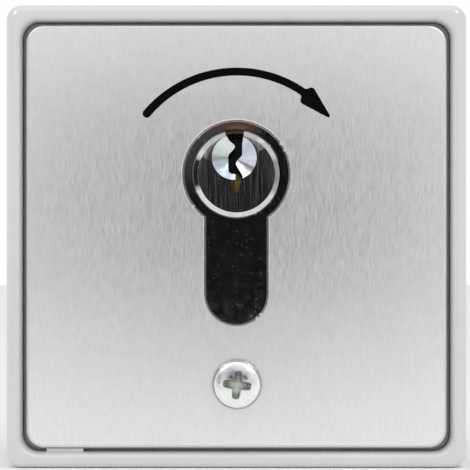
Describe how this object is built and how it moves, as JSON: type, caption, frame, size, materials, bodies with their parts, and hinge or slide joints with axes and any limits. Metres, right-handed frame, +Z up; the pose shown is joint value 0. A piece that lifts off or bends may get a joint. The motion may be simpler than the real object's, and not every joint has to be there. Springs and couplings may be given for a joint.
{
  "type": "selector key switch",
  "caption": "Square surface-mounted key switch: grey housing, brushed steel front plate with a profile half cylinder, spring return to rest, and a small lever switch.",
  "frame": {"origin": "centre of the housing's flat back, which lies on the wall", "axes": "+Y out of the back into the wall, so the front faces -Y; +Z up; +X to the right for someone facing the front"},
  "size_m": [0.075, 0.0591, 0.0754],
  "materials": {
    "housing_paint": "light grey enamel on a die casting, semi-gloss",
    "plate_steel": "fine vertical brushing",
    "seal_rubber": "matt black",
    "zinc_screw": "bright zinc",
    "earth_brass": "plain",
    "carrier_plastic": "moulded, matt",
    "cylinder_nickel": "dark polished nickel",
    "sintered_steel": "sintered",
    "pin_brass": "turned",
    "spring_steel": "bright wire and strip",
    "switch_plastic": "black",
    "plunger_red": "red",
    "contact_metal": "plated strip"
  },
  "bodies": {
    "base": {"housing": "housing_paint", "front_plate": "plate_steel", "plate_gasket": "seal_rubber", "cable_grommet": "seal_rubber", "rear_entry_plug": "seal_rubber", "plate_screw": "zinc_screw", "carrier_screw_1": "zinc_screw", "carrier_screw_2": "zinc_screw", "carrier_screw_3": "zinc_screw", "carrier_screw_4": "zinc_screw", "cylinder_screw": "zinc_screw", "spring_plate_screw_left": "zinc_screw", "spring_plate_screw_right": "zinc_screw", "switch_screw_lower": "zinc_screw", "switch_screw_upper": "zinc_screw", "earth_screw": "zinc_screw", "earth_washer": "earth_brass", "carrier": "carrier_plastic", "cylinder_body": "cylinder_nickel", "chamber_plug_1": "pin_brass", "chamber_plug_2": "pin_brass", "chamber_plug_3": "pin_brass", "chamber_plug_4": "pin_brass", "chamber_plug_5": "pin_brass", "return_spring": "spring_steel", "spring_plate": "spring_steel", "switch_lever_pin": "spring_steel", "pin_spring_1": "spring_steel", "pin_spring_2": "spring_steel", "pin_spring_3": "spring_steel", "pin_spring_4": "spring_steel", "pin_spring_5": "spring_steel", "switch_case": "switch_plastic", "switch_cover": "switch_plastic", "switch_terminal_common": "contact_metal", "switch_terminal_no": "contact_metal", "switch_terminal_nc": "contact_metal"},
    "core": {"plug": "cylinder_nickel", "cam": "sintered_steel", "plug_clip": "spring_steel", "key_pin_1": "pin_brass", "key_pin_2": "pin_brass", "key_pin_3": "pin_brass", "key_pin_4": "pin_brass", "key_pin_5": "pin_brass"},
    "driver_1": {"driver_pin_1": "pin_brass"},
    "driver_2": {"driver_pin_2": "pin_brass"},
    "driver_3": {"driver_pin_3": "pin_brass"},
    "driver_4": {"driver_pin_4": "pin_brass"},
    "driver_5": {"driver_pin_5": "pin_brass"},
    "lever": {"switch_lever": "spring_steel"},
    "plunger": {"switch_plunger": "plunger_red"},
    "blade": {"switch_blade": "contact_metal"}
  },
  "joints": [
    {"name": "plug_turn", "type": "hinge", "parent": "base", "child": "core", "pos_m": [0, -0.0276, 0.0102], "axis": [0, 1, 0], "range_deg": [0, 60], "stiffness_Nm_per_rad": 0.05, "springref_deg": -20.05, "deforming": ["return_spring"]},
    {"name": "driver_slide_1", "type": "slide", "parent": "base", "child": "driver_1", "axis": [0, 0, -1], "range_m": [0, 0.0025], "stiffness_N_per_m": 60, "springref_m": -0.002, "deforming": ["pin_spring_1"]},
    {"name": "driver_slide_2", "type": "slide", "parent": "base", "child": "driver_2", "axis": [0, 0, -1], "range_m": [0, 0.0025], "stiffness_N_per_m": 60, "springref_m": -0.002, "deforming": ["pin_spring_2"]},
    {"name": "driver_slide_3", "type": "slide", "parent": "base", "child": "driver_3", "axis": [0, 0, -1], "range_m": [0, 0.0025], "stiffness_N_per_m": 60, "springref_m": -0.002, "deforming": ["pin_spring_3"]},
    {"name": "driver_slide_4", "type": "slide", "parent": "base", "child": "driver_4", "axis": [0, 0, -1], "range_m": [0, 0.0025], "stiffness_N_per_m": 60, "springref_m": -0.002, "deforming": ["pin_spring_4"]},
    {"name": "driver_slide_5", "type": "slide", "parent": "base", "child": "driver_5", "axis": [0, 0, -1], "range_m": [0, 0.0025], "stiffness_N_per_m": 60, "springref_m": -0.002, "deforming": ["pin_spring_5"]},
    {"name": "lever_swing", "type": "hinge", "parent": "base", "child": "lever", "pos_m": [0.01435, -0.0276, -0.0018], "axis": [0, 1, 0], "range_deg": [0, 18]},
    {"name": "plunger_slide", "type": "slide", "parent": "base", "child": "plunger", "axis": [1, 0, 0], "range_m": [0, 0.0015]},
    {"name": "blade_swing", "type": "hinge", "parent": "base", "child": "blade", "pos_m": [0.0184, -0.0276, 0.0135], "axis": [0, -1, 0], "range_deg": [0, 8]}
  ],
  "couplings": [
    {"joint": "lever_swing", "follows": "plug_turn", "ratio": 0.3},
    {"joint": "plunger_slide", "follows": "plug_turn", "m_per_rad": 0.0014324},
    {"joint": "blade_swing", "follows": "plug_turn", "ratio": 0.13333}
  ]
}
